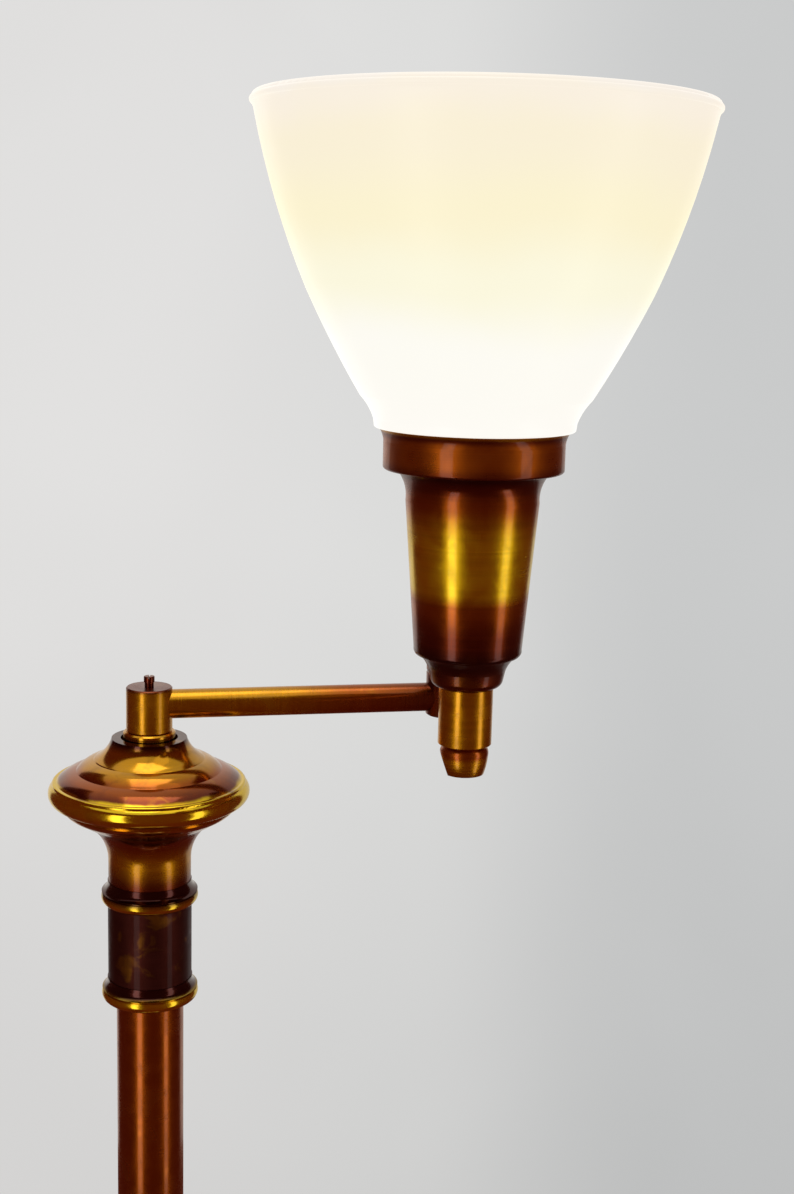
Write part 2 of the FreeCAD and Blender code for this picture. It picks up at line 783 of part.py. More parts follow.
def knuckle(label, height, axis, bearing, bore, cap_hole, open_below, length="knuckle_length"):
    """An arm's end barrel: bored from its open end, capped at the other, with a seat in its side
    for the tube and a way through to the bore for the wires."""

    def up(text):
        return text if open_below else f"{length} - ({text})"

    edge_r = "knuckle_r - knuckle_chamfer"
    inside = f"{length} - knuckle_cap"
    outline = [
        (bore, up("0")),
        (edge_r, up("0")),
        ("knuckle_r", up("knuckle_chamfer")),
        ("knuckle_r", up(f"{length} - knuckle_chamfer")),
        (edge_r, up(length)),
        (cap_hole, up(length)),
        (cap_hole, up(inside)),
        (bore, up(inside)),
    ]
    if not open_below:
        outline.reverse()
    body = turned(label, outline, height, axis=axis, bearing=bearing)
    arm_height = up(f"{length} - arm_to_cap")
    side_hole(body, "wire_r", arm_height)
    side_hole(body, "arm_r + slip", arm_height, "knuckle_r - arm_seat")


def arm_tube(label, height, axis, bearing):
    body = piece(label, height, axis, bearing)
    sketch = sketch_on(body, "YZ_Plane", "knuckle_r - arm_seat")
    draw_circle(sketch, "arm_r")
    draw_circle(sketch, "arm_r - arm_wall")
    pad = body.newObject("PartDesign::Pad", f"{label}_pad")
    pad.Profile = sketch
    pad.setExpression("Length", bound("arm_length - 2 * (knuckle_r - arm_seat)"))


def arm_pieces():
    seat_top = "seat_height - seat_chamfer"
    turned(
        "hub_seat",
        [
            (ROD_FIT, "0"),
            ("seat_r - seat_chamfer", "0"),
            ("seat_r", "seat_chamfer"),
            ("seat_r", seat_top),
            ("seat_r - seat_chamfer", "seat_height"),
            ("pin_r + slip", "seat_height"),
            ("pin_r + slip", "spindle_foot"),
            (ROD_FIT, "spindle_foot"),
        ],
        HUB_SEAT,
    )
    spindle_foot = f"({HUB_SEAT} + spindle_foot)"
    spindle_length = f"{HUB_JOINT} + knuckle_length - knuckle_cap - thrust_gap - {spindle_foot}"
    spindle_outline = pin_outline(spindle_length, False)
    spindle = turned("pivot_spindle", spindle_outline, spindle_foot, bearing="inner_bearing")
    side_hole(spindle, "pin_cross_r", f"{INNER_ARM} - {spindle_foot}", both_ways=True)
    pivot_screw("pivot_screw", f"{HUB_JOINT} + knuckle_length + thrust_gap")

    turning_bore, cap_hole = "pin_r + running", "screw_r + running"
    knuckle("inner_hub_knuckle", HUB_JOINT, COLUMN_AXIS, "inner_bearing", turning_bore, cap_hole, True)
    arm_tube("inner_arm_tube", INNER_ARM, COLUMN_AXIS, "inner_bearing")
    inner_back = "inner_bearing + 180"
    pin_fit, screw_fit = "pin_r + slip", "screw_r + slip"
    knuckle("inner_elbow_knuckle", LOWER_ELBOW, ELBOW_AXIS, inner_back, pin_fit, screw_fit, False)

    pin_foot = f"({LOWER_ELBOW} + knuckle_cap)"
    pin_length = f"{UPPER_ELBOW} + knuckle_length - knuckle_cap - thrust_gap - {pin_foot}"
    elbow_outline = pin_outline(pin_length, True)
    pin = turned("elbow_pin", elbow_outline, pin_foot, axis=ELBOW_AXIS, bearing="inner_bearing")
    for arm_height in (INNER_ARM, OUTER_ARM):
        side_hole(pin, "pin_cross_r", f"{arm_height} - {pin_foot}", both_ways=True)
    washer_r = "knuckle_r - washer_inset"
    plain_ring("elbow_washer", washer_r, turning_bore, "washer_thick", ELBOW_WASHER, axis=ELBOW_AXIS)
    turned(
        "elbow_foot_screw",
        [
            ("0", "-foot_screw_head"),
            ("foot_screw_r - foot_screw_edge", "-foot_screw_head"),
            ("foot_screw_r", "-foot_screw_head + foot_screw_edge"),
            ("foot_screw_r", "0"),
            ("screw_r", "0"),
            ("screw_r", "knuckle_cap + screw_depth"),
            ("0", "knuckle_cap + screw_depth"),
        ],
        LOWER_ELBOW,
        axis=ELBOW_AXIS,
    )
    pivot_screw("elbow_top_screw", f"{UPPER_ELBOW} + knuckle_length + thrust_gap", ELBOW_AXIS)

    knuckle("outer_elbow_knuckle", UPPER_ELBOW, ELBOW_AXIS, "outer_bearing", turning_bore, cap_hole, True)
    arm_tube("outer_arm_tube", OUTER_ARM, ELBOW_AXIS, "outer_bearing")
    knuckle(
        "socket_knuckle",
        SOCKET_KNUCKLE,
        HEAD_AXIS,
        "outer_bearing + 180",
        ROD_FIT,
        "shaft_r + running",
        False,
        "socket_knuckle_length",
    )


# ------------------------------------------------------------------ head


def switch_pieces():
    shaft_foot = f"({KNOB_SEAT} + knob_height - knob_bore_depth)"
    shaft_length = f"{SWITCH_SEAT} + switch_shaft_depth - thrust_gap - {shaft_foot}"
    turned(
        "switch_shaft",
        [("0", "0"), ("shaft_r", "0"), ("shaft_r", shaft_length), ("0", shaft_length)],
        shaft_foot,
        axis=HEAD_AXIS,
    )
    bore_floor = "knob_height - knob_bore_depth"
    knob = turned(
        "switch_knob",
        [
            ("0", "0"),
            ("knob_foot_r", "0"),
            ("knob_r", "knob_fullest", "knob_flank_bow"),
            ("knob_top_r", "knob_height", "knob_brow_bow"),
            ("shaft_r + slip", "knob_height"),
            ("shaft_r + slip", bore_floor),
            ("0", bore_floor),
        ],
        KNOB_SEAT,
        axis=HEAD_AXIS,
    )
    flat = sketch_on(knob, "XZ_Plane")
    flat_top = "-(knob_flat + knob_height * tan(knob_flat_tilt * 1 deg))"
    beyond = "-2 * knob_r"
    flat_outline = [(beyond, "0"), ("-knob_flat", "0"), (flat_top, "knob_height"), (beyond, "knob_height")]
    draw_outline(flat, flat_outline)
    pocket(knob, flat, both_ways=True)
    side_hole(knob, "set_screw_r + slip", "set_screw_height")

    screw = piece("knob_set_screw", f"{KNOB_SEAT} + set_screw_height", HEAD_AXIS)
    revolve(
        screw,
        [
            ("shaft_r + slip", "0"),
            ("knob_r - set_screw_inset", "0"),
            ("knob_r - set_screw_inset", "set_screw_r"),
            ("shaft_r + slip", "set_screw_r"),
        ],
        axis="H_Axis",
    )


def head_shell_pieces():
    turned(
        "socket_bell",
        [
            (ROD_FIT, "0"),
            ("bell_foot_r", "0"),
            ("bell_brow_r", "bell_brow_height", "bell_brow_bow"),
            ("bell_waist_r", "bell_waist_height"),
            ("bell_mouth_r", "bell_height", "-bell_mouth_bow"),
            ("bell_mouth_r - bell_wall", "bell_height"),
            ("bell_waist_r - bell_wall", "bell_waist_height", "bell_mouth_bow"),
            ("bell_brow_r - bell_wall", "bell_brow_height + bell_wall / 2"),
            ("bell_foot_r", "bell_wall", "-bell_brow_bow / 2"),
            (ROD_FIT, "bell_wall"),
        ],
        BELL_SEAT,
        axis=HEAD_AXIS,
    )
    turned(
        "socket_cup",
        [
            (ROD_FIT, "0"),
            ("cup_foot_r", "0"),
            ("cup_heel_r", "cup_heel_height", "cup_heel_bow"),
            ("cup_neck_r", "cup_neck_height"),
            ("cup_mouth_r", "cup_height", "-cup_mouth_bow"),
            ("cup_mouth_r - cup_wall", "cup_height"),
            ("cup_neck_r - cup_wall", "cup_neck_height", "cup_mouth_bow"),
            ("cup_heel_r - cup_wall", "cup_heel_height"),
            ("cup_foot_r - cup_wall", "cup_wall"),
            (ROD_FIT, "cup_wall"),
        ],
        CUP_SEAT,
        axis=HEAD_AXIS,
    )
    shade_holder()


def shade_holder():
    """The spun gallery that the glass bowl sits in, with pressed dimples that centre the neck."""
    bore = "holder_r - holder_wall"
    flare_foot = "holder_height - holder_flare_height"
    corner_bow = "holder_round * (1 - sqrt(0.5))"
    holder = turned(
        "shade_holder",
        [
            ("holder_hole_r", "0"),
            ("holder_r - holder_round", "0"),
            ("holder_r", "holder_round", corner_bow),
            ("holder_r", flare_foot),
            ("holder_r + holder_flare", "holder_height", "-holder_flare_bow"),
            (f"{bore} + holder_flare", "holder_height"),
            (bore, flare_foot, "holder_flare_bow"),
            (bore, "holder_round"),
            ("holder_r - holder_round", "holder_wall", f"-{corner_bow} / 2"),
            ("holder_hole_r", "holder_wall"),
        ],
        HOLDER_SEAT,
        axis=HEAD_AXIS,
        bearing="dimple_bearing",
    )
    tip = "fitter_r + fitter_gap"
    middle = "holder_r - holder_wall / 2"
    press = revolve(
        holder,
        [
            (tip, "0"),
            (middle, "0"),
            (middle, "dimple_r"),
            (f"{tip} + dimple_tip", "dimple_r / 2", "dimple_bow"),
        ],
        axis="H_Axis",
        rise="dimple_height",
    )
    hollow = revolve(
        holder,
        [
            (f"{tip} + holder_wall", "0"),
            ("holder_r + holder_wall", "0"),
            ("holder_r + holder_wall", "dimple_r - dimple_edge"),
            ("holder_r", "dimple_r - dimple_edge"),
            (f"{tip} + holder_wall + dimple_tip", "dimple_r / 2 - dimple_tip", "dimple_bow"),
        ],
        kind="Groove",
        axis="H_Axis",
        rise="dimple_height",
    )
    pattern = holder.newObject("PartDesign::PolarPattern", "dimples")
    pattern.Originals = [press, hollow]
    pattern.Axis = (next(f for f in holder.Origin.OriginFeatures if f.Role == "Z_Axis"), [""])
    pattern.Angle = 360
    pattern.setExpression("Occurrences", bound("dimple_count"))
    holder.Tip = pattern


def socket_pieces():
    nipple_foot = f"({BELL_SEAT} - nipple_reach)"
    nipple_length = f"{SWITCH_SEAT} + switch_nipple_depth - {nipple_foot}"
    plain_ring("socket_nipple", "rod_r", "rod_bore_r", nipple_length, nipple_foot, axis=HEAD_AXIS)
    washer_seat = f"{CUP_SEAT} + cup_wall"
    plain_ring("socket_washer", "lock_washer_r", ROD_HOLE, "lock_washer", washer_seat, axis=HEAD_AXIS)
    hex_nut("socket_nut", f"{washer_seat} + lock_washer", HEAD_AXIS)
    plain_ring("socket_riser", "riser_r", ROD_HOLE, "riser_height", RISER_SEAT, axis=HEAD_AXIS)
    turned(
        "switch_housing",
        [
            (ROD_FIT, "0"),
            ("switch_r", "0"),
            ("switch_r", "switch_height"),
            ("0", "switch_height"),
            ("0", "switch_shaft_depth"),
            ("shaft_r + running", "switch_shaft_depth"),
            ("shaft_r + running", "switch_nipple_depth"),
            (ROD_FIT, "switch_nipple_depth"),
        ],
        SWITCH_SEAT,
        axis=HEAD_AXIS,
    )
    well = "screw_shell_r + screw_shell_wall + slip"
    turned(
        "socket_body",
        [
            ("0", "0"),
            ("socket_r", "0"),
            ("socket_r", "socket_height - socket_edge"),
            ("socket_r - socket_edge", "socket_height", "socket_edge_bow"),
            (well, "socket_height"),
            (well, "socket_floor"),
            ("0", "socket_floor"),
        ],
        SOCKET_SEAT,
        axis=HEAD_AXIS,
    )
    floor = f"{SOCKET_SEAT} + socket_floor"
    shell_r = "screw_shell_r + screw_shell_wall"
    plain_ring("socket_screw_shell", shell_r, "screw_shell_r", "screw_shell_height", floor, axis=HEAD_AXIS)
    turned(
        "socket_contact",
        [
            ("0", "0"),
            ("contact_r", "0"),
            ("contact_r - contact_dome", "contact_height", "contact_bow"),
            ("0", "contact_height"),
        ],
        floor,
        axis=HEAD_AXIS,
    )


def bulb_pieces():
    turned(
        "bulb_tip",
        [
            ("0", "0"),
            ("bulb_tip_r - bulb_tip_dome", "0"),
            ("bulb_tip_r", "bulb_tip_height", "bulb_tip_bow"),
            ("0", "bulb_tip_height"),
        ],
        BULB_SEAT,
        axis=HEAD_AXIS,
    )
    cap_foot = "bulb_tip_height + bulb_insulator_height"
    turned(
        "bulb_insulator",
        [
            ("0", "0"),
            ("bulb_tip_r + bulb_insulator_foot", "0"),
            ("bulb_cap_r - bulb_insulator_inset", "bulb_insulator_height", "bulb_insulator_bow"),
            ("0", "bulb_insulator_height"),
        ],
        f"{BULB_SEAT} + bulb_tip_height",
        axis=HEAD_AXIS,
    )
    cap_bore = "bulb_cap_r - bulb_cap_wall"
    cap_seat = f"{BULB_SEAT} + {cap_foot}"
    plain_ring("bulb_cap", "bulb_cap_r", cap_bore, "bulb_cap_height", cap_seat, axis=HEAD_AXIS)

    stem_r = f"{cap_bore} - slip"
    stem_top = "bulb_tuck + bulb_stem_rise"
    throat = "bulb_tuck + bulb_throat_rise"
    waist = "bulb_tuck + bulb_waist_rise"
    fullest = "bulb_tuck + bulb_fullest_rise"
    dome_bow = "(1 - sqrt(0.5))"
    inner_r = "bulb_r - bulb_glass_wall"
    turned(
        "bulb_glass",
        [
            (f"{stem_r} - bulb_glass_wall", "0"),
            (stem_r, "0"),
            (stem_r, stem_top),
            ("bulb_throat_r", throat, "bulb_throat_bow"),
            ("bulb_waist_r", waist, "-bulb_waist_bow"),
            ("bulb_r", fullest, "bulb_flank_bow"),
            ("0", f"{fullest} + bulb_r", f"bulb_r * {dome_bow}"),
            ("0", f"{fullest} + {inner_r}"),
            (inner_r, fullest, f"-({inner_r}) * {dome_bow}"),
            ("bulb_waist_r - bulb_glass_wall", waist, "-bulb_flank_bow"),
            ("bulb_throat_r - bulb_glass_wall", throat, "bulb_waist_bow"),
            (f"{stem_r} - bulb_glass_wall", stem_top, "-bulb_throat_bow"),
        ],
        f"{cap_seat} + bulb_cap_height - bulb_tuck",
        axis=HEAD_AXIS,
    )


def glass_bowl():
    """The opal bowl: a fitter neck, a shoulder that rests on the gallery, and a rolled rim."""

    def above(text):
        return f"fitter_height + {text}"

    bead_top = "bowl_bead_height + bead_side"
    inner_bead = "bowl_bead_r - bead_width"
    turned(
        "glass_diffuser",
        [
            ("fitter_r - glass_wall", "fitter_edge"),
            ("fitter_r - glass_wall + fitter_edge", "0"),
            ("fitter_r - fitter_edge", "0"),
            ("fitter_r", "fitter_edge", "fitter_edge_bow"),
            ("fitter_r", "fitter_height - fitter_fillet"),
            ("fitter_r + fitter_fillet", "fitter_height", "-fitter_fillet_bow"),
            ("shoulder_r - shoulder_edge", "fitter_height"),
            ("shoulder_r", above("shoulder_edge"), "shoulder_edge_bow"),
            ("shoulder_r + shoulder_draft", above("shoulder_height")),
            ("bowl_foot_r", above("bowl_foot_height"), "-bowl_foot_bow"),
            ("bowl_mid_r", above("bowl_mid_height"), "bowl_mid_bow"),
            ("bowl_high_r", above("bowl_high_height"), "bowl_high_bow"),
            ("bowl_bead_r", above("bowl_bead_height"), "-bowl_bead_bow"),
            ("bowl_bead_r", above(bead_top), "bead_side_bow"),
            (inner_bead, above(bead_top), "bead_top_bow"),
            ("bowl_high_r - glass_wall", above("bowl_high_height"), "bead_inner_bow"),
            ("bowl_mid_r - glass_wall", above("bowl_mid_height + inner_mid_rise"), "-bowl_high_bow"),
            ("bowl_foot_r - glass_wall", above("bowl_foot_height + inner_foot_rise"), "-bowl_mid_bow"),
            ("shoulder_r - glass_wall", above("shoulder_height + inner_shoulder_rise"), "bowl_foot_bow"),
            ("fitter_r - glass_wall", above("inner_throat_rise"), "-inner_throat_bow"),
        ],
        GLASS_SEAT,
        axis=HEAD_AXIS,
    )


# ---------------------------------------------------------------- export


def check_document():
    for item in DOC.Objects:
        if "Invalid" in item.State or "Error" in item.State:
            raise RuntimeError(f"{item.Label} failed: {item.State}")
    for body in PIECES:
        if body.Shape.isNull() or not body.Shape.isValid():
            raise RuntimeError(f"{body.Label} has no valid shape")


def export_pieces():
    os.makedirs("parts", exist_ok=True)
    for body in PIECES:
        body.Shape.exportStep(f"parts/{body.Label}.step")
        print(f"{body.Label}: {body.Shape.Volume / 1000:.2f} cm3")


fill_sheet()
base_pieces()
column_pieces()
saucer_pieces()
arm_pieces()
switch_pieces()
head_shell_pieces()
socket_pieces()
bulb_pieces()
glass_bowl()
DOC.recompute()
check_document()
export_pieces()
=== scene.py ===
"""Swing-arm torchiere floor lamp: antiqued brass under tinted lacquer, with a lit opal glass bowl."""

import math

import bpy
from mathutils import Matrix, Vector


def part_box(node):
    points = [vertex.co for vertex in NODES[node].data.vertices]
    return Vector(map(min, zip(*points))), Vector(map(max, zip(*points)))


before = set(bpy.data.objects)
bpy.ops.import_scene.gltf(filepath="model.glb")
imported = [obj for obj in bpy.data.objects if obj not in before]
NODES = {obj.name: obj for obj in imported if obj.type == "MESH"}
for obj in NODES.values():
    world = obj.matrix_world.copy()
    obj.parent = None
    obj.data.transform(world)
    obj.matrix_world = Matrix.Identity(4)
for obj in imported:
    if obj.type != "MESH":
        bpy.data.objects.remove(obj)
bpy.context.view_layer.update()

# ------------------------------------------------------------------ node helpers


class Tree:
    """Shorthand for building one node tree."""

    def __init__(self, owner):
        owner.use_nodes = True
        self.nodes = owner.node_tree.nodes
        self.links = owner.node_tree.links
        self.nodes.clear()

    def add(self, kind, settings=None, **inputs):
        node = self.nodes.new(kind)
        for name, value in (settings or {}).items():
            setattr(node, name, value)
        for name, value in inputs.items():
            self.put(node, name.replace("_", " "), value)
        return node

    def put(self, node, name, value):
        socket = node.inputs[int(name)] if name.isdigit() else node.inputs[name]
        if isinstance(value, bpy.types.NodeSocket):
            self.links.new(value, socket)
        else:
            socket.default_value = value

    def math(self, operation, first, second=0.0, clamp=False):
        node = self.nodes.new("ShaderNodeMath")
        node.operation = operation
        node.use_clamp = clamp
        self.put(node, "0", first)
        self.put(node, "1", second)
        return node.outputs[0]

    def ramp(self, factor, stops, mode="EASE"):
        node = self.nodes.new("ShaderNodeValToRGB")
        node.color_ramp.interpolation = mode
        elements = node.color_ramp.elements
        while len(elements) < len(stops):
            elements.new(0.5)
        for element, (place, colour) in zip(elements, stops):
            element.position = place
            element.color = (*colour, 1.0) if len(colour) == 3 else colour
        self.links.new(factor, node.inputs["Fac"])
        return node.outputs["Color"]

    def mix(self, factor, first, second, blend="MIX"):
        node = self.nodes.new("ShaderNodeMix")
        node.data_type = "RGBA"
        node.blend_type = blend
        for name, value in (("0", factor), ("6", first), ("7", second)):
            if isinstance(value, tuple) and len(value) == 3:
                value = (*value, 1.0)
            self.put(node, name, value)
        return node.outputs[2]

    def range(self, value, low, high, to_low=0.0, to_high=1.0, smooth=False):
        node = self.nodes.new("ShaderNodeMapRange")
        node.interpolation_type = "SMOOTHSTEP" if smooth else "LINEAR"
        for name, number in zip("01234", (value, low, high, to_low, to_high)):
            self.put(node, name, number)
        return node.outputs[0]

    def noise(self, place, scale, detail=3.0, roughness=0.5, distortion=0.0):
        return self.add(
            "ShaderNodeTexNoise",
            Vector=place,
            Scale=scale,
            Detail=detail,
            Roughness=roughness,
            Distortion=distortion,
        ).outputs["Fac"]

    def grey(self, tone):
        return self.add("ShaderNodeCombineColor", Red=tone, Green=tone, Blue=tone).outputs[0]


def srgb(red, green, blue):
    """A colour written as it shows, from 0 to 255."""

    def linear(level):
        share = level / 255
        return share / 12.92 if share <= 0.04045 else ((share + 0.055) / 1.055) ** 2.4

    return tuple(linear(level) for level in (red, green, blue))


def new_material(name):
    material = bpy.data.materials.new(name)
    tree = Tree(material)
    shader = tree.add("ShaderNodeBsdfPrincipled")
    output = tree.add("ShaderNodeOutputMaterial")
    tree.links.new(shader.outputs[0], output.inputs["Surface"])
    place = tree.add("ShaderNodeTexCoord").outputs["Object"]
    return material, tree, shader, place


def dress(material, *names):
    for name in names:
        mesh = NODES[name].data
        mesh.materials.clear()
        mesh.materials.append(material)


# ------------------------------------------------------------------ brass

GOLD = srgb(236, 198, 30)
BRONZE = srgb(204, 146, 20)
RUST = srgb(164, 84, 18)
OXBLOOD = srgb(112, 46, 18)
PLUM = srgb(72, 32, 26)


def brass(
    name,
    bands,
    axis=(0, 0),
    roughness=0.24,
    lacquer=0.3,
    mottle=0.4,
    lines=0.4,
    turned=0.6,
    along=None,
):
    """Antiqued brass. bands is a list of (height or distance in metres, colour), smoothly joined;
    along, if given, is the plan direction that distance is taken in, from the axis."""
    material, tree, shader, place = new_material(name)
    split = tree.add("ShaderNodeSeparateXYZ", Vector=place)
    x = tree.math("SUBTRACT", split.outputs["X"], axis[0])
    y = tree.math("SUBTRACT", split.outputs["Y"], axis[1])
    z = split.outputs["Z"]
    if along:
        run = tree.math("ADD", tree.math("MULTIPLY", x, along[0]), tree.math("MULTIPLY", y, along[1]))
    else:
        run = z
    cloud = tree.noise(place, 34.0, 4.0, 0.55, 0.4)
    low, high = bands[0][0], bands[-1][0]
    wander = tree.math("MULTIPLY", tree.math("SUBTRACT", cloud, 0.5), 0.2 * mottle * (high - low))
    share = tree.range(tree.math("ADD", run, wander), low, high)
    colour = tree.ramp(share, [((at - low) / (high - low), shade) for at, shade in bands])

    # worn lacquer: patches thin out to brass or darken
    patch = tree.noise(place, 70.0, 4.0, 0.5, 0.8)
    dark = tree.range(patch, 0.5, 0.78, 0.0, 0.45 * mottle, True)
    colour = tree.mix(dark, colour, PLUM)
    bright = tree.range(patch, 0.26, 0.42, 0.35 * mottle, 0.0, True)
    colour = tree.mix(bright, colour, BRONZE)

    # turning lines round the axis, seen as fine rings of tone, roughness and relief
    square = tree.math("ADD", tree.math("MULTIPLY", x, x), tree.math("MULTIPLY", y, y))
    ring_place = tree.add("ShaderNodeCombineXYZ", X=tree.math("SQRT", square), Z=run)
    fine = tree.noise(ring_place.outputs[0], 1400.0, 2.0, 0.6)
    broad = tree.noise(ring_place.outputs[0], 320.0, 2.0, 0.5)
    line = tree.math("ADD", tree.math("MULTIPLY", fine, 0.6), tree.math("MULTIPLY", broad, 0.4))
    shade = tree.range(line, 0.3, 0.7, 1.0 - 0.35 * lines, 1.0 + 0.25 * lines)
    colour = tree.mix(1.0, colour, tree.grey(shade), "MULTIPLY")
    tree.links.new(colour, shader.inputs["Base Color"])

    rough = tree.range(patch, 0.3, 0.7, roughness * 0.8, roughness * 1.25)
    rough = tree.math("ADD", rough, tree.math("MULTIPLY", tree.math("SUBTRACT", line, 0.5), 0.18 * lines))
    tree.links.new(rough, shader.inputs["Roughness"])
    bump = tree.add("ShaderNodeBump", Strength=0.25 * lines, Distance=0.0002, Height=line)
    tree.links.new(bump.outputs[0], shader.inputs["Normal"])

    shader.inputs["Metallic"].default_value = 1.0
    shader.inputs["Anisotropic"].default_value = turned
    tangent = tree.add("ShaderNodeTangent", {"direction_type": "RADIAL", "axis": "Z"})
    tree.links.new(tangent.outputs[0], shader.inputs["Tangent"])
    shader.inputs["Coat Weight"].default_value = lacquer
    shader.inputs["Coat Roughness"].default_value = 0.08
    shader.inputs["Coat IOR"].default_value = 1.5
    shader.inputs["Coat Tint"].default_value = (1.0, 0.84, 0.62, 1.0)
    return material


def heights(node, *stops):
    """Bands over a node's height: each stop is (share from its foot to its top, colour)."""
    low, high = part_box(node)
    return [(low.z + (high.z - low.z) * share, colour) for share, colour in stops]


def middle(node):
    low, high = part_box(node)
    return ((low.x + high.x) / 2, (low.y + high.y) / 2)


HEAD = middle("socket_cup")
ELBOW = middle("outer_elbow_knuckle")
HUB = (0.0, 0.0)


def dress_turned_brass():
    """The pieces whose tone changes from foot to top: node, material, stops, finish."""
    ring = [(0, GOLD), (0.28, GOLD), (0.52, PLUM), (1, PLUM)]
    foot = [(0, OXBLOOD), (0.3, BRONZE), (0.6, OXBLOOD), (1, BRONZE)]
    dish = [(0, GOLD), (0.12, GOLD), (0.18, OXBLOOD), (0.34, RUST), (0.55, BRONZE), (0.8, BRONZE), (1, PLUM)]
    cone = [(0, PLUM), (0.12, OXBLOOD), (0.3, RUST), (0.4, GOLD), (0.62, GOLD)]
    cone += [(0.84, RUST), (0.93, OXBLOOD), (1, PLUM)]
    holder = [(0, OXBLOOD), (0.3, RUST), (0.75, RUST), (0.9, OXBLOOD), (1, BRONZE)]
    neck = [(0, OXBLOOD), (0.45, BRONZE), (0.8, RUST), (1, PLUM)]
    pan = [(0, OXBLOOD), (0.35, BRONZE), (0.55, GOLD), (1, GOLD)]
    knob = [(0, BRONZE), (0.5, BRONZE), (0.7, RUST), (1, RUST)]
    pieces = [
        ("main_tube", "pole", [(0, OXBLOOD), (0.5, RUST), (1, RUST)], {"lines": 0.3}),
        ("base_shell", "base", foot, {"roughness": 0.2}),
        ("base_neck", "foot", [(0, BRONZE), (0.5, OXBLOOD), (1, BRONZE)], {"roughness": 0.2}),
        ("lower_ring", "lower_ring", ring, {"roughness": 0.16, "mottle": 0.3}),
        ("upper_ring", "upper_ring", ring, {"roughness": 0.16, "mottle": 0.3}),
        (
            "accent_sleeve",
            "sleeve",
            [(0, PLUM), (1, PLUM)],
            {"roughness": 0.42, "lacquer": 0.1, "mottle": 0.6},
        ),
        ("trumpet_neck", "neck", neck, {"roughness": 0.26}),
        ("saucer_pan", "pan", pan, {"roughness": 0.14, "mottle": 0.5, "lines": 0.2}),
        ("saucer_dish", "dish", dish, {"roughness": 0.14, "mottle": 0.8, "lines": 0.2}),
        ("hub_seat", "seat", [(0, GOLD), (1, BRONZE)], {"roughness": 0.16}),
        ("socket_knuckle", "barrel", [(0, BRONZE), (1, BRONZE)], {"axis": HEAD}),
        ("switch_knob", "knob", knob, {"axis": HEAD, "lines": 0.9}),
        ("socket_bell", "bell", [(0, OXBLOOD), (1, PLUM)], {"axis": HEAD, "roughness": 0.3}),
        ("socket_cup", "cone", cone, {"axis": HEAD, "roughness": 0.22, "mottle": 0.2, "lines": 0.5}),
        ("shade_holder", "holder", holder, {"axis": HEAD, "roughness": 0.3, "mottle": 0.3}),
    ]
    for node, name, stops, finish in pieces:
        dress(brass(f"aged_brass_{name}", heights(node, *stops), **finish), node)


def dress_arm_brass():
    """The hub, the elbow and the two arm tubes, whose tone changes along their run."""
    stops = heights("inner_hub_knuckle", (0, BRONZE), (0.9, BRONZE), (1, OXBLOOD))
    dress(brass("aged_brass_hub", stops, roughness=0.26), "inner_hub_knuckle", "pivot_screw")
    run = Vector(ELBOW) - Vector(HUB)
    length = run.length
    run.normalize()
    bands = [(0.0, BRONZE), (0.35 * length, BRONZE), (0.7 * length, RUST), (length, OXBLOOD)]
    inner = brass("aged_brass_inner_arm", bands, along=(run.x, run.y), turned=0.0)
    dress(inner, "inner_arm_tube")
    bands = [(0.0, OXBLOOD), (0.1, BRONZE), (0.167, RUST)]
    outer = brass("aged_brass_outer_arm", bands, axis=ELBOW, along=(0, -1), turned=0.0)
    dress(outer, "outer_arm_tube")
    stops = heights("inner_elbow_knuckle", (0, OXBLOOD), (1, OXBLOOD))
    elbow = brass("aged_brass_elbow", stops, axis=ELBOW)
    dress(elbow, "inner_elbow_knuckle", "outer_elbow_knuckle", "elbow_foot_screw", "elbow_top_screw")


# ------------------------------------------------------------------ other materials


def plain(name, colour, second, scale, roughness, metallic=0.0, bump=0.1, grain=0.0003):
    """A workaday material: two tones clouded together, with its own relief."""
    material, tree, shader, place = new_material(name)
    cloud = tree.noise(place, scale, 5.0, 0.6)
    tree.links.new(tree.mix(cloud, colour, second), shader.inputs["Base Color"])
    fine = tree.noise(place, scale * 6, 4.0, 0.6)
    tree.links.new(tree.range(fine, 0.3, 0.7, roughness * 0.85, roughness * 1.15), shader.inputs["Roughness"])
    relief = tree.add("ShaderNodeBump", Strength=bump, Distance=grain, Height=fine)
    tree.links.new(relief.outputs[0], shader.inputs["Normal"])
    shader.inputs["Metallic"].default_value = metallic
    return material


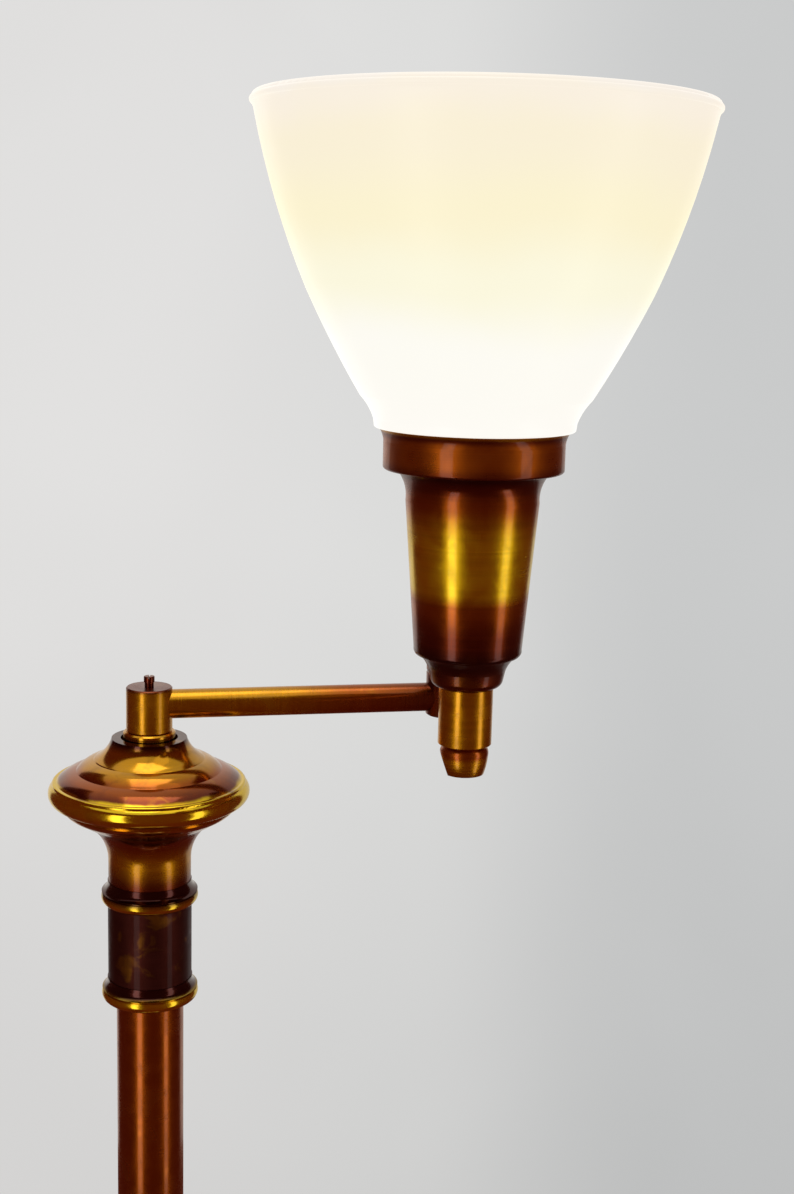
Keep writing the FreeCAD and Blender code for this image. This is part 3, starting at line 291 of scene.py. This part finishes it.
def opal_glass():
    """Cased opal glass, lit from inside: whitest low by the bulb, creamy higher up."""
    material, tree, shader, place = new_material("opal_glass")
    z = tree.add("ShaderNodeSeparateXYZ", Vector=place).outputs["Z"]
    low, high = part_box("glass_diffuser")
    cloud = tree.noise(place, 14.0, 3.0, 0.5)
    run = tree.math("ADD", z, tree.math("MULTIPLY", tree.math("SUBTRACT", cloud, 0.5), 0.02))
    glow = tree.ramp(
        tree.range(run, low.z, high.z),
        [
            (0.0, srgb(255, 252, 246)),
            (0.3, srgb(254, 252, 244)),
            (0.5, srgb(252, 248, 222)),
            (0.68, srgb(252, 243, 208)),
            (0.86, srgb(250, 240, 214)),
            (0.97, srgb(250, 240, 224)),
            (1.0, srgb(248, 240, 230)),
        ],
    )
    tree.links.new(glow, shader.inputs["Emission Color"])
    shader.inputs["Emission Strength"].default_value = 0.94
    shader.inputs["Base Color"].default_value = (0.05, 0.05, 0.045, 1.0)
    shader.inputs["Specular IOR Level"].default_value = 0.3
    rough = tree.range(tree.noise(place, 60.0), 0.3, 0.7, 0.34, 0.42)
    tree.links.new(rough, shader.inputs["Roughness"])
    wave = tree.add("ShaderNodeBump", Strength=0.05, Distance=0.0005, Height=cloud)
    tree.links.new(wave.outputs[0], shader.inputs["Normal"])
    return material


def dress_the_rest():
    steel = plain("zinc_steel", srgb(176, 174, 166), srgb(140, 138, 130), 160, 0.35, 1.0)
    dress(steel, "threaded_rod", "base_washer", "base_lock_nut", "column_washer", "column_nut", "socket_nipple")
    dress(steel, "socket_washer", "socket_nut", "socket_riser", "elbow_pin", "pivot_spindle", "elbow_washer")
    dress(steel, "switch_shaft", "knob_set_screw", "socket_screw_shell", "socket_contact")
    dress(plain("cast_iron", srgb(58, 57, 56), srgb(40, 39, 39), 220, 0.75, 0.6, 0.5), "base_weight")
    dress(plain("felt", srgb(52, 60, 50), srgb(40, 46, 40), 900, 0.95, 0.0, 0.8, 0.001), "felt_pad")
    plastic = plain("black_plastic", srgb(34, 30, 28), srgb(26, 24, 23), 120, 0.4)
    dress(plastic, "switch_housing", "cord_bushing", "bulb_insulator")
    dress(plain("porcelain", srgb(232, 228, 218), srgb(222, 216, 204), 40, 0.25), "socket_body")
    dress(plain("bulb_metal", srgb(200, 198, 190), srgb(180, 178, 170), 200, 0.3, 1.0), "bulb_cap", "bulb_tip")
    bulb, tree, shader, place = new_material("frosted_bulb")
    haze = tree.range(tree.noise(place, 50.0), 0.3, 0.7, 0.35, 0.5)
    tree.links.new(haze, shader.inputs["Roughness"])
    shader.inputs["Base Color"].default_value = (0.9, 0.88, 0.82, 1.0)
    shader.inputs["Emission Color"].default_value = (*srgb(255, 240, 205), 1.0)
    shader.inputs["Emission Strength"].default_value = 3.0
    dress(bulb, "bulb_glass")
    dress(opal_glass(), "glass_diffuser")


# ------------------------------------------------------------------ studio


def build_world():
    """Pale grey behind everything that is seen, directly or in metal and glass, and plain soft
    light on the object."""
    world = bpy.data.worlds.new("studio")
    bpy.context.scene.world = world
    tree = Tree(world)
    place = tree.add("ShaderNodeTexCoord").outputs["Generated"]
    direction = tree.add("ShaderNodeSeparateXYZ", Vector=place)
    # painted shade on the backdrop: darker towards the right, darker lower down, and faint fold shading
    side = tree.range(direction.outputs["X"], -0.2, 0.22, smooth=True)
    greys = [(0.0, srgb(225, 224, 223)), (0.5, srgb(220, 220, 219)), (1.0, srgb(202, 203, 203))]
    seen = tree.ramp(side, greys)
    fold_shade = tree.noise(place, 5.0, 2.0, 0.4, 0.6)
    low_shade = tree.range(direction.outputs["Z"], -0.6, -0.1, 0.86, 1.0, smooth=True)
    tone = tree.math("MULTIPLY", low_shade, tree.range(fold_shade, 0.3, 0.7, 0.985, 1.015))
    seen = tree.mix(1.0, seen, tree.grey(tone), "MULTIPLY")
    shown = tree.add("ShaderNodeBackground", Color=seen, Strength=1.0)
    light = tree.add("ShaderNodeBackground", Color=(1.0, 0.99, 0.97, 1.0), Strength=0.85)
    path = tree.add("ShaderNodeLightPath")
    looks = tree.math("MAXIMUM", path.outputs["Is Camera Ray"], path.outputs["Is Glossy Ray"])
    looks = tree.math("MAXIMUM", looks, path.outputs["Is Transmission Ray"])
    mixed = tree.add("ShaderNodeMixShader", **{"0": looks, "1": light.outputs[0], "2": shown.outputs[0]})
    output = tree.add("ShaderNodeOutputWorld")
    tree.links.new(mixed.outputs[0], output.inputs["Surface"])


def area_light(name, place, aim, size, watts, colour=(1.0, 1.0, 1.0)):
    data = bpy.data.lights.new(name, "AREA")
    data.shape = "RECTANGLE"
    data.size, data.size_y = size
    data.energy = watts
    data.color = colour
    light = bpy.data.objects.new(name, data)
    bpy.context.scene.collection.objects.link(light)
    light.location = place
    light.rotation_euler = (Vector(aim) - Vector(place)).to_track_quat("-Z", "Y").to_euler()
    light.visible_camera = False
    return light


def around(bearing, distance, height):
    """A place round the column: bearing in degrees from -Y towards +X."""
    angle = math.radians(bearing)
    return (math.sin(angle) * distance, -math.cos(angle) * distance, height)


def build_lights():
    centre = (0.06, -0.04, 1.0)
    area_light("softbox_left", around(-28, 1.5, 1.0), centre, (0.42, 2.0), 5.6, (1.0, 0.99, 0.97))
    area_light("softbox_right", around(64, 1.5, 1.0), centre, (0.36, 2.0), 3.6, (1.0, 0.99, 0.97))
    area_light("overhead", (0.0, -0.1, 3.0), (0.0, 0.0, 0.0), (1.1, 1.1), 7.0)


ROUND = 96


def build_floor():
    """A pale floor that fades into the background."""
    mesh = bpy.data.meshes.new("floor")
    reach, fade_from, fade_to = 5.0, 0.9, 1.5
    rim = [around(360 * i / ROUND, reach, 0.0) for i in range(ROUND)]
    mesh.from_pydata(rim, [], [tuple(range(ROUND))])
    floor = bpy.data.objects.new("floor", mesh)
    bpy.context.scene.collection.objects.link(floor)
    material = bpy.data.materials.new("floor")
    tree = Tree(material)
    place = tree.add("ShaderNodeTexCoord").outputs["Object"]
    away = tree.add("ShaderNodeVectorMath", {"operation": "LENGTH"}, **{"0": place}).outputs["Value"]
    near = tree.add("ShaderNodeBsdfDiffuse", Color=(*srgb(226, 225, 223), 1.0))
    clear = tree.add("ShaderNodeBsdfTransparent")
    fade = tree.range(away, fade_from, fade_to, smooth=True)
    mixed = tree.add("ShaderNodeMixShader", **{"0": fade, "1": near.outputs[0], "2": clear.outputs[0]})
    output = tree.add("ShaderNodeOutputMaterial")
    tree.links.new(mixed.outputs[0], output.inputs["Surface"])
    mesh.materials.append(material)


def build_cloth():
    """Dark red cloth in front, at the sides and underfoot, seen only in reflections."""
    mesh = bpy.data.meshes.new("dark_cloth")
    reach, top, steps, first, last = 1.65, 3.0, 48, -135.0, 135.0
    hem_reach, hem_height = 0.16, 0.004
    bearings = [first + (last - first) * i / steps for i in range(steps + 1)]
    points = [around(b, reach, z) for b in bearings for z in (0.0, top)]
    faces = [(2 * i, 2 * i + 1, 2 * i + 3, 2 * i + 2) for i in range(steps)]
    hem = len(points)
    points += [around(360 * i / ROUND, far, hem_height) for i in range(ROUND) for far in (hem_reach, reach)]
    faces += [tuple(hem + (2 * i + corner) % (2 * ROUND) for corner in (0, 1, 3, 2)) for i in range(ROUND)]
    mesh.from_pydata(points, [], faces)
    cloth = bpy.data.objects.new("dark_cloth", mesh)
    bpy.context.scene.collection.objects.link(cloth)
    cloth.visible_camera = False
    cloth.visible_diffuse = False
    cloth.visible_shadow = False
    cloth.visible_transmission = False
    material = bpy.data.materials.new("dark_cloth")
    tree = Tree(material)
    glow = tree.add("ShaderNodeEmission", Color=(*srgb(88, 38, 28), 1.0), Strength=1.0)
    output = tree.add("ShaderNodeOutputMaterial")
    tree.links.new(glow.outputs[0], output.inputs["Surface"])
    mesh.materials.append(material)


def build_camera():
    data = bpy.data.cameras.new("camera")
    data.sensor_width = 36.0
    data.lens = 51.197
    camera = bpy.data.objects.new("camera", data)
    bpy.context.scene.collection.objects.link(camera)
    camera.location = (0.133235, -0.895316, 1.395331)
    pitch_down, roll = 0.19, 0.025
    turn = Matrix.Rotation(math.pi / 2 - pitch_down, 3, "X") @ Matrix.Rotation(roll, 3, "Z")
    camera.rotation_euler = turn.to_euler()
    bpy.context.scene.camera = camera


bpy.context.scene.view_settings.view_transform = "Standard"
build_camera()
build_world()
build_lights()
build_floor()
build_cloth()
dress_turned_brass()
dress_arm_brass()
dress_the_rest()
